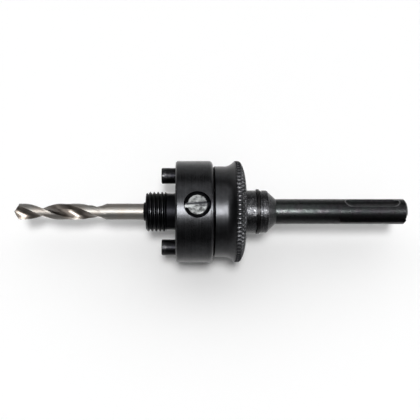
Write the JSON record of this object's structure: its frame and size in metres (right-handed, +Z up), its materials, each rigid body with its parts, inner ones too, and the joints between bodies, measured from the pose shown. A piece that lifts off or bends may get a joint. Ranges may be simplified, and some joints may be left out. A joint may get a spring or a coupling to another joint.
{
  "type": "hole saw arbor",
  "caption": "Hole saw arbor: threaded nose and drive pins carry a hole saw, a set screw clamps the pilot drill, the pin sleeve slides back to free the saw.",
  "frame": {"origin": "middle of the overall box's base, on the surface that the arbor lies on", "axes": "+X along the arbor's axis towards the shank's end, +Z up from the surface, drive pins on the Y sides"},
  "size_m": [0.156, 0.0404, 0.0404],
  "materials": {
    "black_oxide": "black oxide over turned steel, satin",
    "tool_steel": "ground high-speed steel",
    "bright_screw": "bright zinc over steel",
    "spring_steel": "dark spring steel",
    "ball_steel": "polished ball steel"
  },
  "bodies": {
    "spindle": {"spindle": "black_oxide", "pilot_drill": "tool_steel", "retaining_ring": "spring_steel", "detent_ball_1": "ball_steel", "detent_ball_2": "ball_steel", "detent_spring": "spring_steel"},
    "sleeve": {"sliding_sleeve": "black_oxide", "drive_pin_1": "black_oxide", "drive_pin_2": "black_oxide"},
    "set_screw": {"set_screw": "bright_screw"}
  },
  "joints": [
    {"name": "sleeve_slide", "type": "slide", "parent": "spindle", "child": "sleeve", "axis": [1, 0, 0], "range_m": [0, 0.0058]},
    {"name": "screw_turn", "type": "hinge", "parent": "spindle", "child": "set_screw", "pos_m": [-0.00509, 0.00135, 0.02978], "axis": [0, 0.1392, 0.9903], "range_deg": [0, 360]}
  ]
}
